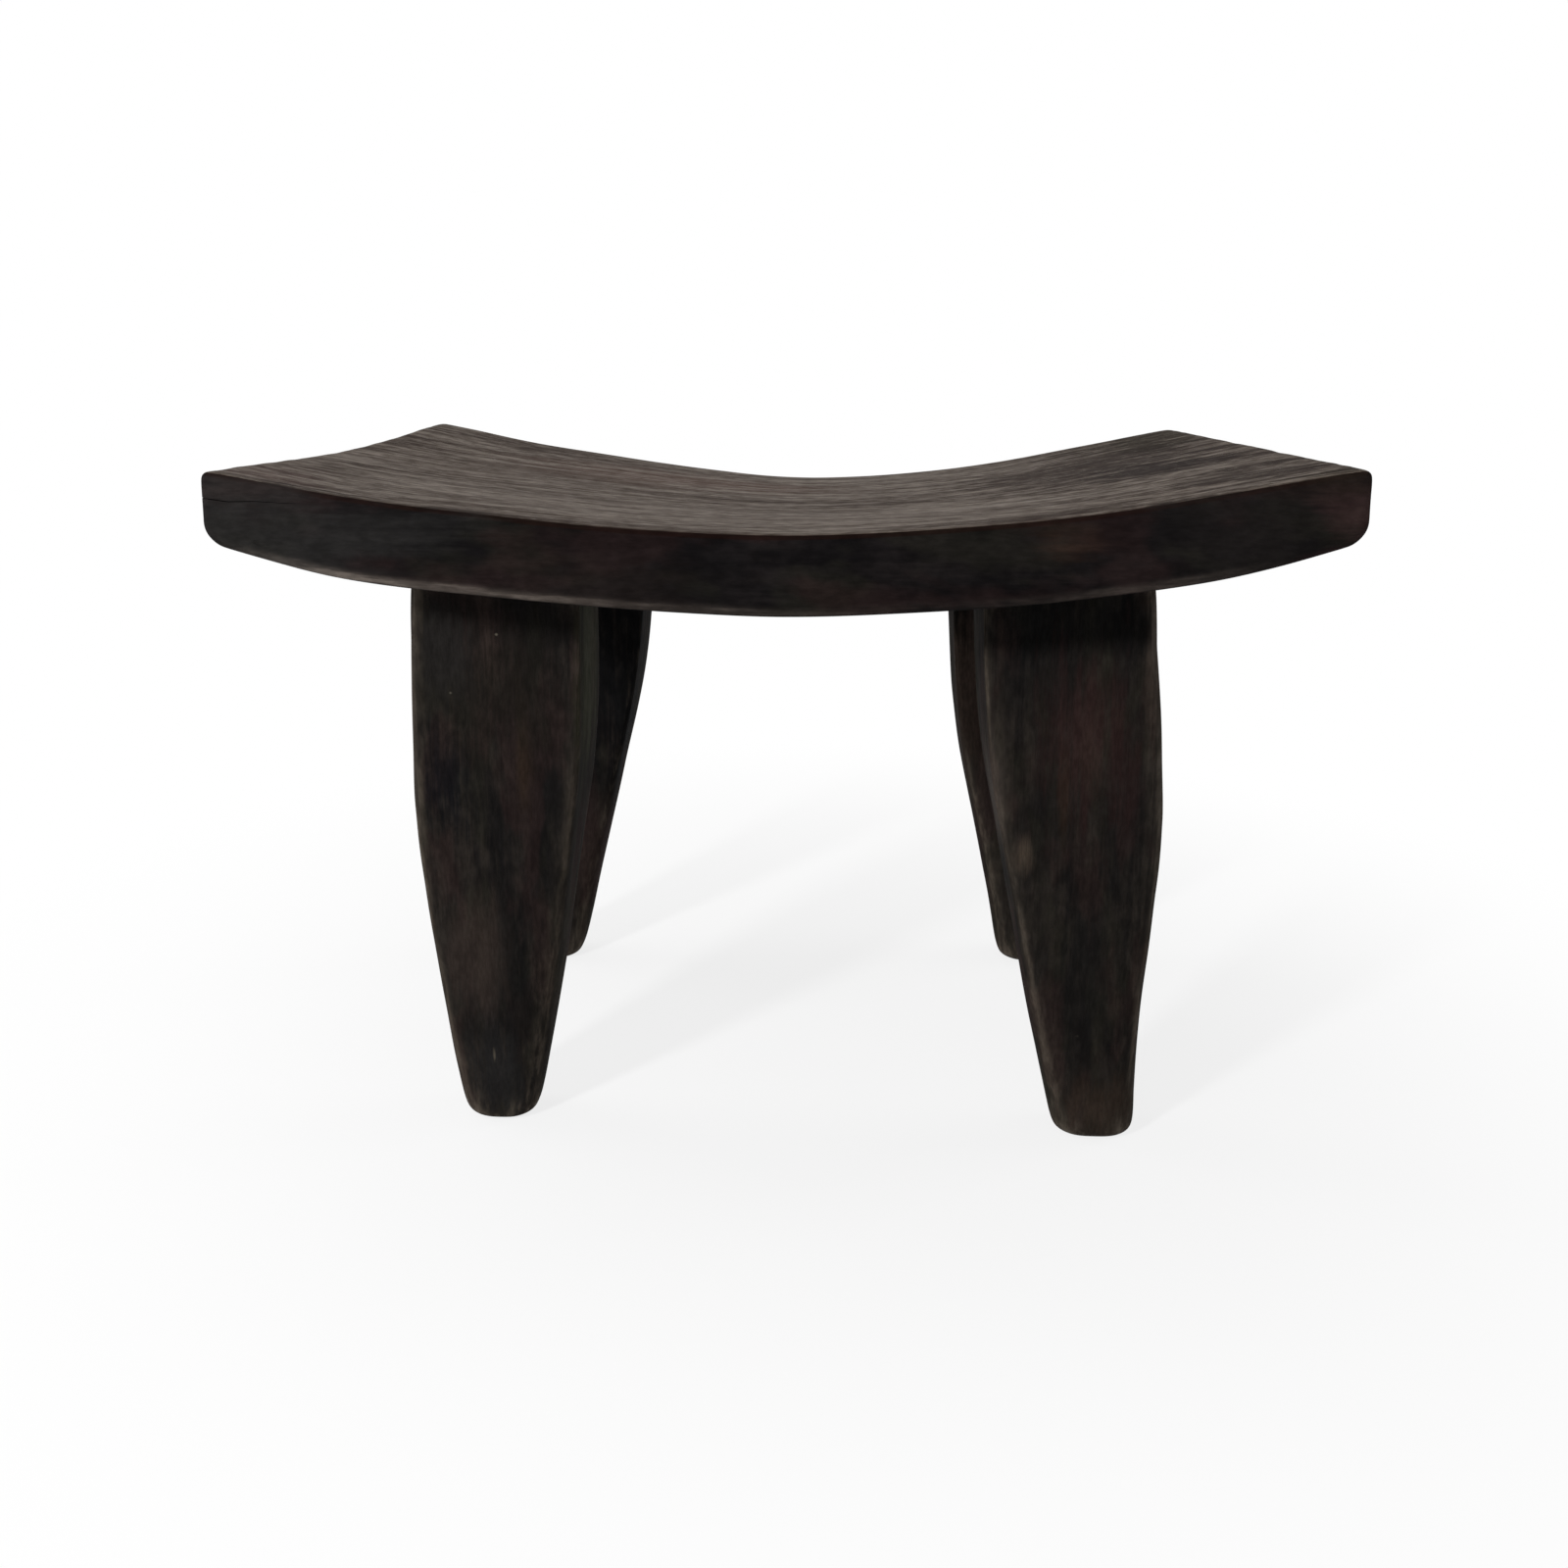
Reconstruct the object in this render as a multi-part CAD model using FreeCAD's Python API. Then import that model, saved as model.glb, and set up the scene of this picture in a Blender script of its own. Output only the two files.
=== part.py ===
import FreeCAD, Part
import os

# A low carved stool: a saddle board on four tapered legs, each leg glued on with two dowels.
# Millimetres. +X runs along the seat, +Y from the front to the back, +Z up.
# The origin is on the floor, under the middle of the seat.

# Seat board
seat_width = 450.0            # from end to end, along X
seat_depth = 350.0            # from the front edge to the back edge, along Y
seat_thickness = 32.0         # measured straight down, half way between the middle and an end
corner_height = 311.0         # highest corner before its end is rounded, which brings it to 310
end_round_top = 5.0           # radius of the upper arris at both ends
end_round_bottom = 16.0       # radius of the lower arris at both ends
rim_ease = 3.0                # radius of the arrises along the front, back and ends

# How far the other corners, and the middle of each end, lie below the highest corner
front_left_drop = 3.4
front_right_drop = 0.0
middle_left_drop = 6.0
middle_right_drop = 1.1
back_left_drop = 0.4
back_right_drop = 3.0

# How far the lowest line of the saddle lies below the highest corner
front_dish = 27.8
middle_dish = 31.0
back_dish = 34.2

# Shape of the saddle: where it is measured, as shares of half the width, and how much of the
# rise from the lowest line to the end is reached there
across_shares = (-1.0, -0.75, -0.5, -0.25, 0.0, 0.25, 0.5, 0.75, 1.0)
rise_shares = (1.0, 0.625, 0.36, 0.135, 0.0, 0.075, 0.285, 0.625, 1.0)

# How thick the board is at the same places, as shares of seat_thickness
thickness_shares = (0.91, 1.06, 1.05, 1.02, 0.99, 0.97, 1.0, 1.03, 0.89)

# Legs
leg_width_top = 70.0          # along X, where the leg meets the seat
leg_depth_top = 54.0          # along Y, where the leg meets the seat
leg_depth_foot = 30.0
leg_arris_top = 6.0           # radius of the four upright arrises where the leg meets the seat
leg_arris_foot = 10.5         # and at the foot, which is rounder
foot_round = 9.0              # radius round the sole

# Taper of the legs: heights as shares of a leg's length, and how much of the growth from the
# foot's size to the top's size is reached there. The bow is shared out in the same way.
height_shares = (0.0, 0.08, 0.23, 0.38, 0.54, 0.76, 1.0)
width_growth_shares = (0.0, 0.16, 0.45, 0.70, 0.93, 1.02, 1.0)
depth_growth_shares = (0.0, 0.14, 0.38, 0.60, 0.79, 0.95, 1.0)
bow_shares = (0.0, 0.1, 0.35, 0.7, 1.0, 0.7, 0.0)

# Each leg is carved by hand, so each has its own place, foot and lean. The insets run from the
# seat's end and from its front or back edge to the middle of the leg's top. The splays are how much
# further out the middle of the foot stands, and the bow is the same for the middle of the leg.
leg_values = {
    "front_left": dict(
        side=-1, row=-1, end_inset=102.0, end_splay=8.5, edge_inset=78.0, edge_splay=-4.0,
        foot_width=31.5, bow=1.5
    ),
    "front_right": dict(
        side=1, row=-1, end_inset=104.5, end_splay=20.5, edge_inset=77.0, edge_splay=-1.5,
        foot_width=33.5, bow=0.8
    ),
    "back_left": dict(
        side=-1, row=1, end_inset=103.0, end_splay=21.5, edge_inset=78.0, edge_splay=-7.5,
        foot_width=30.0, bow=-2.5
    ),
    "back_right": dict(
        side=1, row=1, end_inset=103.0, end_splay=14.5, edge_inset=77.0, edge_splay=1.0,
        foot_width=32.0, bow=-1.7
    ),
}

# Dowels
dowel_diameter = 12.0
dowel_in_seat = 19.0          # how deep a dowel reaches into the seat
dowel_in_leg = 33.0           # how deep it reaches into the leg
dowel_side_inset = 19.0       # from a leg's side, where it meets the seat, to the middle of a dowel
dowel_point = 1.5             # chamfer at both ends of a dowel
glue_gap = 0.1                # round a dowel, at each side
glue_pocket = 1.0             # past each end of a dowel

flat_within = 0.01            # how far a flat face or edge may stray from its plane
round_middle_share = 1 - 0.5 ** 0.5   # where the middle of a quarter round lies, along its radius
half_width = seat_width / 2
half_depth = seat_depth / 2


def vector(x, y, z):
    return FreeCAD.Vector(x, y, z)


def saddle_curve(y, heights):
    """A smooth curve across the seat at depth y, through the given heights."""
    points = [vector(share * half_width, y, z) for share, z in zip(across_shares, heights)]
    curve = Part.BSplineCurve()
    curve.interpolate(points)
    return curve.toShape()


def seat_outline(y, left_drop, right_drop, dish):
    """The closed outline of the board at depth y, with sharp corners."""
    low = corner_height - dish
    left_rise = dish - left_drop
    right_rise = dish - right_drop
    top_heights = []
    for across, rise in zip(across_shares, rise_shares):
        end_rise = left_rise if across < 0 else right_rise
        top_heights.append(low + rise * end_rise)
    bottom_heights = [z - share * seat_thickness for z, share in zip(top_heights, thickness_shares)]
    top = saddle_curve(y, top_heights)
    bottom = saddle_curve(y, bottom_heights)
    left_end = Part.makeLine(
        vector(-half_width, y, bottom_heights[0]), vector(-half_width, y, top_heights[0])
    )
    right_end = Part.makeLine(
        vector(half_width, y, top_heights[-1]), vector(half_width, y, bottom_heights[-1])
    )
    return Part.Wire(Part.__sortEdges__([left_end, top, right_end, bottom]))


def end_arrises(board, upper):
    """The upper or the lower arris of both ends of the board."""
    found = []
    for face in board.Faces:
        box = face.BoundBox
        if box.XLength > flat_within:
            continue
        for edge in face.Edges:
            runs_along_y = edge.BoundBox.ZLength < box.ZLength / 2
            if runs_along_y and (edge.BoundBox.Center.z > box.Center.z) == upper:
                found.append(edge)
    return found


def rim_arrises(board):
    """The outlines of the front face and of the back face."""
    return [edge for edge in board.Edges if edge.BoundBox.YLength < flat_within]


def seat_board():
    """The saddle board with its arrises rounded, before its dowel holes."""
    outlines = [
        seat_outline(-half_depth, front_left_drop, front_right_drop, front_dish),
        seat_outline(0, middle_left_drop, middle_right_drop, middle_dish),
        seat_outline(half_depth, back_left_drop, back_right_drop, back_dish),
    ]
    board = Part.makeLoft(outlines, True, False)
    board = board.makeFillet(end_round_top, end_arrises(board, True))
    board = board.makeFillet(end_round_bottom, end_arrises(board, False))
    return board.makeFillet(rim_ease, rim_arrises(board))


def leg_section(x, y, z, width, depth, arris):
    """A rounded rectangle, level, centred on x and y."""
    left = x - width / 2
    right = x + width / 2
    front = y - depth / 2
    back = y + depth / 2
    near = arris * round_middle_share

    def at(point_x, point_y):
        return vector(point_x, point_y, z)

    # Each round by where it starts, its middle and where it ends, anticlockwise seen from above
    rounds = [
        (at(left, front + arris), at(left + near, front + near), at(left + arris, front)),
        (at(right - arris, front), at(right - near, front + near), at(right, front + arris)),
        (at(right, back - arris), at(right - near, back - near), at(right - arris, back)),
        (at(left + arris, back), at(left + near, back - near), at(left, back - arris)),
    ]
    edges = []
    for this_round, next_round in zip(rounds, rounds[1:] + rounds[:1]):
        edges.append(Part.Arc(*this_round).toShape())
        edges.append(Part.makeLine(this_round[-1], next_round[0]))
    return Part.Wire(edges)


def leg_top(values):
    """How far the middle of a leg's top is from the middle of the stool, along X and along Y."""
    return half_width - values["end_inset"], half_depth - values["edge_inset"]


def leg_blank(values, joint_z):
    """A leg before it is scribed to the seat: it runs on past the joint, into the board."""
    sections = []
    top_x, top_y = leg_top(values)
    blank_height = joint_z + seat_thickness / 2
    stations = zip(height_shares, width_growth_shares, depth_growth_shares, bow_shares)
    for height, width_growth, depth_growth, bow in stations:
        x = top_x + (1 - height) * values["end_splay"] + bow * values["bow"]
        y = top_y + (1 - height) * values["edge_splay"]
        width = values["foot_width"] + width_growth * (leg_width_top - values["foot_width"])
        depth = leg_depth_foot + depth_growth * (leg_depth_top - leg_depth_foot)
        z = height * blank_height
        arris = leg_arris_foot + depth_growth * (leg_arris_top - leg_arris_foot)
        sections.append(leg_section(values["side"] * x, values["row"] * y, z, width, depth, arris))
    blank = Part.makeLoft(sections, True, False)
    sole_edges = [edge for edge in blank.Edges if edge.BoundBox.ZMax < flat_within]
    return blank.makeFillet(foot_round, sole_edges)


def underside_height(board, x, y):
    """Height of the seat's underside straight above a point of the floor."""
    plumb_line = Part.makeLine(vector(x, y, 0), vector(x, y, corner_height))
    return plumb_line.common(board).BoundBox.ZMin


def dowel(x, y, joint_z):
    """A round peg across the joint, with both ends chamfered."""
    length = dowel_in_leg + dowel_in_seat
    peg = Part.makeCylinder(dowel_diameter / 2, length, vector(x, y, joint_z - dowel_in_leg))
    end_edges = [edge for edge in peg.Edges if edge.BoundBox.ZLength < flat_within]
    return peg.makeChamfer(dowel_point, end_edges)


def dowel_hole(x, y, joint_z):
    """The hole for a dowel, through the joint, with room for glue."""
    length = dowel_in_leg + dowel_in_seat + 2 * glue_pocket
    radius = dowel_diameter / 2 + glue_gap
    return Part.makeCylinder(radius, length, vector(x, y, joint_z - dowel_in_leg - glue_pocket))


def save(shape, node):
    shape.exportStep("parts/" + node + ".step")
    print(node, len(shape.Solids), "solid", round(shape.Volume), "mm3", shape.isValid())


def main():
    os.makedirs("parts", exist_ok=True)
    board = seat_board()
    seat = board
    for place, values in leg_values.items():
        top_x, top_y = leg_top(values)
        leg_x = values["side"] * top_x
        leg_y = values["row"] * top_y
        joint_z = underside_height(board, leg_x, leg_y)
        leg = leg_blank(values, joint_z).cut(board)
        outward = values["side"] * (leg_width_top / 2 - dowel_side_inset)
        for name, offset in (("inner", -outward), ("outer", outward)):
            hole = dowel_hole(leg_x + offset, leg_y, joint_z)
            seat = seat.cut(hole)
            leg = leg.cut(hole)
            save(dowel(leg_x + offset, leg_y, joint_z), "dowel_" + place + "_" + name)
        save(leg, "leg_" + place)
    save(seat, "seat")
    box = seat.optimalBoundingBox(True, False)
    print("seat spans", [round(v, 2) for v in (box.XMin, box.XMax, box.YMin, box.YMax, box.ZMin, box.ZMax)])


main()
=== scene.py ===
# %% [markdown]
# # A carved wooden stool
# The stool is a thick board, carved hollow from end to end, on four tapered legs. Hidden dowels hold
# it together. This lesson builds what shows: the seat, the legs and their dark stained wood, and
# then the studio that they stand in. The CAD model gives every size and place, so it is loaded first
# and never moved.

# %% The fixed frame
import math
import bmesh
import bpy
import numpy
from mathutils import Matrix, Vector


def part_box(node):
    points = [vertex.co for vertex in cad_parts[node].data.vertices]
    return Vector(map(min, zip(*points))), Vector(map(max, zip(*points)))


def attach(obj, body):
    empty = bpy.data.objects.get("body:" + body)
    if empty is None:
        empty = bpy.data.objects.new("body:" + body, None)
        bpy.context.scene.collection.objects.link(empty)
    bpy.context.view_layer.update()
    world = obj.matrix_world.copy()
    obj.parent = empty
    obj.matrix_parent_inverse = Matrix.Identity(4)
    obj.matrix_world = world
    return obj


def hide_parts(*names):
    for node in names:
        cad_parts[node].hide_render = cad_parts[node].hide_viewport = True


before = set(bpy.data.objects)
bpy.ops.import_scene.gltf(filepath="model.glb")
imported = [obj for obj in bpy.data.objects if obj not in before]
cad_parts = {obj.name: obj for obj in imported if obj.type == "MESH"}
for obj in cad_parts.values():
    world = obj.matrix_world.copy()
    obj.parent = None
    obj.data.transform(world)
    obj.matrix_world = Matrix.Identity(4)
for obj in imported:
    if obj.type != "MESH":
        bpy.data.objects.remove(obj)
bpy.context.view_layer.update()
MM = 0.001
seat_low, seat_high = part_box("seat")
print("seat in mm:", [round(v / MM, 1) for v in (*seat_low, *seat_high)])

# %% [markdown]
# ## Camera
# The photo looks at the stool's front, from a little above the seat and a little to the right. The
# lens, place and tilt below put the seat's four corners and the four feet where the photo has them.
# The optical axis is above the middle of the picture, which is the shift of a picture that was cropped.

# %% Camera
picture_px = 1600
focal_px = 1498.2
axis_row_px = 600
sensor_mm = 36
nearest_seen = 10 * MM
camera_place = Vector((25.3, -734.1, 353.1)) * MM
pitch_down = math.radians(9.143)
turn_left = math.radians(2.306)
roll = math.radians(0.187)

forward = Vector((
    -math.sin(turn_left) * math.cos(pitch_down),
    math.cos(turn_left) * math.cos(pitch_down),
    -math.sin(pitch_down),
))
level_right = Vector((math.cos(turn_left), math.sin(turn_left), 0))
level_up = level_right.cross(forward)
right = level_right * math.cos(roll) + level_up * math.sin(roll)
up = level_up * math.cos(roll) - level_right * math.sin(roll)

camera_data = bpy.data.cameras.new("camera")
camera_data.sensor_width = sensor_mm
camera_data.lens = focal_px / picture_px * sensor_mm
camera_data.shift_y = (axis_row_px - picture_px / 2) / picture_px
camera_data.clip_start = nearest_seen
camera = bpy.data.objects.new("camera", camera_data)
camera.matrix_world = Matrix.Translation(camera_place) @ Matrix((right, up, -forward)).transposed().to_4x4()
bpy.context.scene.collection.objects.link(camera)
bpy.context.scene.camera = camera
print("lens in mm:", round(camera_data.lens, 2), "shift:", camera_data.shift_y)

# %% [markdown]
# ## Working in edit mode
# An operator acts on whatever is selected, and loading the frame leaves its nodes selected. So every
# piece starts with nothing selected, and each step chooses its vertices, edges or faces by their
# place. A finished piece keeps its place in its mesh, with its object at the origin.


# %% Start a block and choose its parts
def start_block(name, low, high):
    """A cube from one corner to the opposite one, open in edit mode."""
    bpy.ops.object.select_all(action="DESELECT")
    bpy.ops.mesh.primitive_cube_add(size=1, location=(low + high) / 2, scale=high - low)
    block = bpy.context.object
    block.name = name
    bpy.ops.object.transform_apply(location=True, rotation=True, scale=True)
    bpy.ops.object.mode_set(mode="EDIT")
    return block


def choose(piece, kind, passes):
    """Selects only those vertices, edges or faces of a piece in edit mode that pass a test."""
    bpy.ops.mesh.select_mode(type=kind)
    bpy.ops.mesh.select_all(action="DESELECT")
    mesh = bmesh.from_edit_mesh(piece.data)
    parts = {"VERT": mesh.verts, "EDGE": mesh.edges, "FACE": mesh.faces}[kind]
    for part in parts:
        if passes(part):
            part.select_set(True)
    bmesh.update_edit_mesh(piece.data)


def middle(edge):
    return (edge.verts[0].co + edge.verts[1].co) / 2


def cut_across(places, direction):
    """Cuts the piece in edit mode by a plane at each place along a direction."""
    for place in places:
        bpy.ops.mesh.select_all(action="SELECT")
        bpy.ops.mesh.bisect(plane_co=direction * place, plane_no=direction)


def finish_piece(piece):
    """Applies the modifiers of a piece from the top and smooths its shading."""
    bpy.ops.object.select_all(action="DESELECT")
    piece.select_set(True)
    bpy.context.view_layer.objects.active = piece
    for modifier in list(piece.modifiers):
        bpy.ops.object.modifier_apply(modifier=modifier.name)
    bpy.ops.object.shade_smooth()


along_x = Vector((1, 0, 0))
along_y = Vector((0, 1, 0))
along_z = Vector((0, 0, 1))

# Two places that are closer than this count as one
hair = 0.01 * MM

# %% [markdown]
# ## The seat board
# The seat is one thick board, hollowed along its length like a saddle, with its ends and arrises
# rounded over by rasp and wear. It could be lofted or sculpted, but a carver starts from a straight
# board, and so does this: a block gets its rounded ends and arrises while it is still straight, and
# is then bent by a cage. The lower arris along the front and the back is worn more than the upper.

# %% A straight board with rounded arrises
seat_thickness = 32 * MM
end_round_top = 4.5 * MM
end_round_bottom = 8 * MM
arris_upper = 2.4 * MM
arris_lower = 5.4 * MM
arris_end = 1.2 * MM
arris_profile = 0.25
end_segments_top = 3
end_segments_bottom = 6
arris_segments = 3

board_low = seat_low
board_high = Vector((seat_high.x, seat_high.y, seat_low.z + seat_thickness))
seat = start_block("saddle_seat", board_low, board_high)
board_middle = (board_low + board_high) / 2


def is_end_arris(edge, upper):
    centre = middle(edge)
    at_end = abs(abs(centre.x) - board_high.x) < hair and abs(centre.y) < hair
    return at_end and (centre.z > board_middle.z) == upper


def arris_at(place):
    """Size of the arris round the front and the back: widest below and narrow at the ends."""
    if place.z > board_high.z - hair:
        return arris_upper
    rise = min(1.0, (place.z - board_low.z) / end_round_bottom)
    return arris_lower + rise * (arris_end - arris_lower)


choose(seat, "EDGE", lambda edge: is_end_arris(edge, False))
bpy.ops.mesh.bevel(offset=end_round_bottom, segments=end_segments_bottom)
choose(seat, "EDGE", lambda edge: is_end_arris(edge, True))
bpy.ops.mesh.bevel(offset=end_round_top, segments=end_segments_top)

seat_mesh = bmesh.from_edit_mesh(seat.data)
bevel_weight = seat_mesh.edges.layers.float.new("bevel_weight_edge")
for edge in seat_mesh.edges:
    centre = middle(edge)
    if abs(abs(centre.y) - board_high.y) < hair:
        edge[bevel_weight] = arris_at(centre) / arris_lower
bmesh.update_edit_mesh(seat.data)
bpy.ops.object.mode_set(mode="OBJECT")
rim = seat.modifiers.new("rim", "BEVEL")
rim.limit_method = "WEIGHT"
rim.width = arris_lower
rim.segments = arris_segments
rim.profile = arris_profile
rim.use_clamp_overlap = False
finish_piece(seat)
print("board:", len(seat.data.vertices), "vertices")

# %% [markdown]
# A cage bends a board only where it has vertices, so the board is cut into columns, rows and layers.
# A grid could be rounded afterwards instead, but the rounding is simpler on a plain block. Then the
# underside is turned up a little at each end, and the two back corners are rounded seen from above,
# both as on the real board. The last vertices are pushed, and what is near follows by less.


# %% Cut it into columns, rows and layers
def push_softly(offset, reach):
    """Moves what is selected, and what lies within reach follows by less."""
    bpy.ops.transform.translate(
        value=offset, use_proportional_edit=True, proportional_edit_falloff="SMOOTH",
        proportional_size=reach,
    )


cut_spacing = 12.5 * MM
column_reach = 200 * MM
row_reach = 162.5 * MM
layer_shares = (0.34, 0.66)
end_lift = 0.5 * MM
end_reach = 24 * MM
corner_push = Vector((-1.5, -6.5, 0)) * MM
corner_reach = 18 * MM

bpy.ops.object.mode_set(mode="EDIT")
cut_across(numpy.arange(-column_reach, column_reach + hair, cut_spacing), along_x)
cut_across(numpy.arange(-row_reach, row_reach + hair, cut_spacing), along_y)
cut_across([board_low.z + seat_thickness * share for share in layer_shares], along_z)
choose(
    seat, "VERT",
    lambda v: abs(v.co.x) > board_high.x - end_round_bottom and v.co.z < board_low.z + end_round_bottom,
)
push_softly(along_z * end_lift, end_reach)
for side in (-1, 1):
    choose(
        seat, "VERT",
        lambda v: side * v.co.x > board_high.x - arris_lower and v.co.y > board_high.y - arris_lower,
    )
    push_softly(Vector((side * corner_push.x, corner_push.y, 0)), corner_reach)
bpy.ops.object.mode_set(mode="OBJECT")
print("board cut into", len(seat.data.polygons), "faces")

# %% [markdown]
# The cage is a lattice. Its points lie at nine places across the seat and at the front, the middle
# and the back, and the surface passes smoothly through them. The shape is that of the CAD model:
# how far the saddle rises towards its ends, how far each corner lies below the highest one, and how
# thick the board is, with a millimetre or two more below for what smoothing and the tool take off.
# One more row of points on every side carries the slope on past the edge. The top's front edge is
# carved a little lower on the left and higher on the right than the rest.

# %% Heights of the cage
corner_height = 311.1 * MM

# How far the left end, the right end and the lowest line lie below the highest corner, in mm, at the
# front, the middle and the back
left_drops = (3.4, 6.0, 0.4)
right_drops = (0.0, 1.1, 2.3)
dishes = (27.8, 31.0, 34.2)

# At nine places across the seat: how much of the rise to the end is reached, how thick the board is,
# as a share of its thickness, and how far the front edge is raised, in mm
rise_shares = (1.0, 0.625, 0.36, 0.135, 0.0, 0.075, 0.285, 0.625, 1.0)
thickness_shares = (0.96, 1.11, 1.1, 1.065, 1.035, 1.025, 1.055, 1.09, 0.95)
front_raises = (0, -0.8, -1, -0.7, 0.7, 1.1, 0.6, 0.2, 0)
level_raises = (0,) * len(front_raises)
row_raises = (front_raises, front_raises, level_raises, level_raises, level_raises)


def carried_on(values):
    """The values with one more at both ends, in line with the last two."""
    return [2 * values[0] - values[1], *values, 2 * values[-1] - values[-2]]


def saddle_heights(left_drop, right_drop, dish, raises):
    """Top and bottom of the board at the nine places across it."""
    tops = []
    for place, rise in enumerate(rise_shares):
        drop = left_drop if place < len(rise_shares) // 2 else right_drop
        tops.append(corner_height - dish * MM + rise * (dish - drop) * MM)
    bottoms = [top - share * seat_thickness for top, share in zip(tops, thickness_shares)]
    return [top + lift * MM for top, lift in zip(tops, raises)], bottoms


rows = [
    saddle_heights(*values)
    for values in zip(carried_on(left_drops), carried_on(right_drops), carried_on(dishes), row_raises)
]
print("lowest of the seat's top at each row in mm:", [round(min(tops) / MM, 1) for tops, bottoms in rows])

# %% Bend the board with the cage
seat_smoothing = 2
bpy.ops.object.select_all(action="DESELECT")
bpy.ops.object.add(type="LATTICE", location=board_middle)
cage = bpy.context.object
cage_columns = len(carried_on(rise_shares))
cage.data.points_u = cage_columns
cage.data.points_v = len(rows)
cage.data.points_w = 2
cage.data.interpolation_type_u = "KEY_CATMULL_ROM"
cage.data.interpolation_type_v = "KEY_CATMULL_ROM"
cage.data.interpolation_type_w = "KEY_LINEAR"
seat_size = board_high - board_low
cage.scale = (
    seat_size.x * (cage_columns - 1) / (len(rise_shares) - 1),
    seat_size.y * (len(rows) - 1) / 2,
    seat_size.z,
)
for row, (tops, bottoms) in enumerate(rows):
    for level, heights in enumerate((bottoms, tops)):
        for place, height in enumerate(carried_on(heights)):
            point = cage.data.points[place + cage_columns * (row + len(rows) * level)]
            point.co_deform.z = (height - board_middle.z) / seat_size.z
bend = seat.modifiers.new("bend", "LATTICE")
bend.object = cage
smooth = seat.modifiers.new("smooth", "SUBSURF")
smooth.levels = seat_smoothing
smooth.render_levels = seat_smoothing
finish_piece(seat)
bpy.data.objects.remove(cage)
seat_corners = [Vector(corner) for corner in seat.bound_box]
print("seat top in mm:", round(max(corner.z for corner in seat_corners) / MM, 2))
print("CAD seat top in mm:", round(seat_high.z / MM, 2))

# %% [markdown]
# ## Tool marks
# A hand-carved surface is never quite flat: it swells and dips by half a millimetre, in patches as
# long as a stroke of the tool. They could be sculpted, but a cloud texture gives the same marks each
# time. It moves the surface inwards only, so that the stool keeps its size, and it is stretched along
# the grain by an empty that holds its axes.


# %% Carve shallow hollows
def carve_hollows(piece, grain_axis, depth, width, where=""):
    """Shallow hollows that are longer along the grain, where a vertex group says or everywhere."""
    times_longer = 3
    clouds = bpy.data.textures.new("tool_marks", "CLOUDS")
    clouds.noise_scale = width
    clouds.noise_depth = 1
    axes = bpy.data.objects.new("grain_axes", None)
    axes.scale = [times_longer if direction == grain_axis else 1 for direction in "XYZ"]
    bpy.context.scene.collection.objects.link(axes)
    bpy.context.view_layer.update()
    hollows = piece.modifiers.new("hollows", "DISPLACE")
    hollows.texture = clouds
    hollows.texture_coords = "OBJECT"
    hollows.texture_coords_object = axes
    hollows.strength = depth
    hollows.mid_level = 1
    hollows.vertex_group = where
    finish_piece(piece)
    bpy.data.objects.remove(axes)


carve_hollows(seat, "X", depth=0.7 * MM, width=22 * MM)
print("seat:", len(seat.data.polygons), "faces")

# %% [markdown]
# ## The legs
# Each leg is hewn from its own piece, widest a little below the seat and narrow at the foot, with
# flats between its faces that are crisp near the seat and worn round lower down. A block is cut into
# rings, each ring gets its own width and place, and a subdivision surface smooths them. Creases keep
# the flats crisp at the top. Copies of one leg would be quicker, but no two of these are alike. So the
# widths were read from the photo for each leg, and the depths, which it hides, are the CAD model's.

# %% Rings of the legs
# Heights of the rings in mm, and at each of them how deep a leg is and how wide the flats on its
# outer and its inner corners are
ring_heights = (0, 12, 30, 60, 90, 120, 150, 180, 215, 250)
ring_depths = (30, 31.8, 34.5, 39, 42.8, 46, 49.2, 51.2, 53, 54)
outer_flats = (7.5, 7.5, 7, 6.3, 5.6, 5, 4.4, 4, 3.6, 3.4)
inner_flats = (7, 7, 7, 6.5, 5.8, 4.6, 3.4, 2.4, 1.9, 1.7)

# The foot is rounded in by its inset over its height, and the edge at the joint is eased
foot_inset = 5.5
foot_height = 9
foot_ring_heights = (0, 2, 5)
joint_ease = 2.2
joint_ease_height = 8

# How far the outer and the inner face of each leg stand from the middle of the stool, at the ring
# heights, and how far the middle of its foot and of its top stand to the front or the back
leg_shapes = {
    "front_left": dict(
        side=-1, row=-1, foot_y=93, top_y=97,
        outer=(148.5, 150.5, 153.5, 156.4, 159.7, 162.3, 163.6, 162.6, 161.9, 159.9),
        inner=(115, 113, 109.1, 103.6, 99, 95.5, 91, 87.2, 86.3, 86),
    ),
    "front_right": dict(
        side=1, row=-1, foot_y=97.5, top_y=98,
        outer=(161.2, 161.3, 160.8, 160.8, 163, 164.8, 166, 163.6, 160.4, 156.8),
        inner=(123.5, 121.8, 117.5, 110.3, 105.1, 99.6, 93.9, 88.3, 85.4, 83.5),
    ),
    "back_left": dict(
        side=-1, row=1, foot_y=89.5, top_y=97,
        outer=(160.5, 160.7, 161.1, 161.9, 162.7, 163.4, 163.7, 162.4, 160.4, 158.4),
        inner=(127, 123.8, 119.6, 113.5, 105.8, 100.6, 93.4, 88.3, 85.4, 84.6),
    ),
    "back_right": dict(
        side=1, row=1, foot_y=99, top_y=98,
        outer=(154.7, 155.2, 155.9, 157.3, 159.1, 160.8, 162.1, 161.4, 159.9, 158.4),
        inner=(119.2, 117, 113.7, 107.9, 101.8, 94.8, 90.6, 88.2, 86.5, 85.6),
    ),
}


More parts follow.
